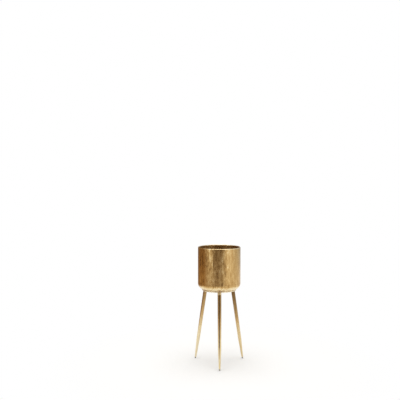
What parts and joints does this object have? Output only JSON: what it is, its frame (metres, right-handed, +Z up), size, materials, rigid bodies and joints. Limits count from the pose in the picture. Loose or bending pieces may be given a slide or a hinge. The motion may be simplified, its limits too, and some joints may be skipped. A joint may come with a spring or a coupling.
{
  "type": "planter pot",
  "caption": "Round antique-brass planter: a deep rounded-bottom sheet pot lifts out of a ring stand on splayed, tapered screw-in legs.",
  "frame": {"origin": "middle of the footprint's box, on the floor; the pot's axis stands 22.0 mm behind it along +Y", "axes": "+Z up along the pot's axis, -Y towards the front leg, +X to the right seen from the front"},
  "size_m": [0.294, 0.294, 0.684],
  "materials": {
    "pot_brass": "antique patina, vertical streaks",
    "stand_brass": "antique satin",
    "socket_brass": "satin",
    "steel": "zinc plated",
    "nylon": "moulded"
  },
  "bodies": {
    "stand": {"stand_ring": "stand_brass", "socket_front": "socket_brass", "socket_right": "socket_brass", "socket_left": "socket_brass", "stud_front": "steel", "stud_right": "steel", "stud_left": "steel", "leg_front": "stand_brass", "leg_right": "stand_brass", "leg_left": "stand_brass", "leg_plug_front": "steel", "leg_plug_right": "steel", "leg_plug_left": "steel", "foot_glide_front": "nylon", "foot_glide_right": "nylon", "foot_glide_left": "nylon"},
    "pot": {"pot_wall": "pot_brass", "pot_base": "pot_brass", "rim_wire": "steel"}
  },
  "joints": [
    {"name": "pot_lift", "type": "slide", "parent": "stand", "child": "pot", "axis": [0, 0, 1], "range_m": [0, 0.3]}
  ]
}
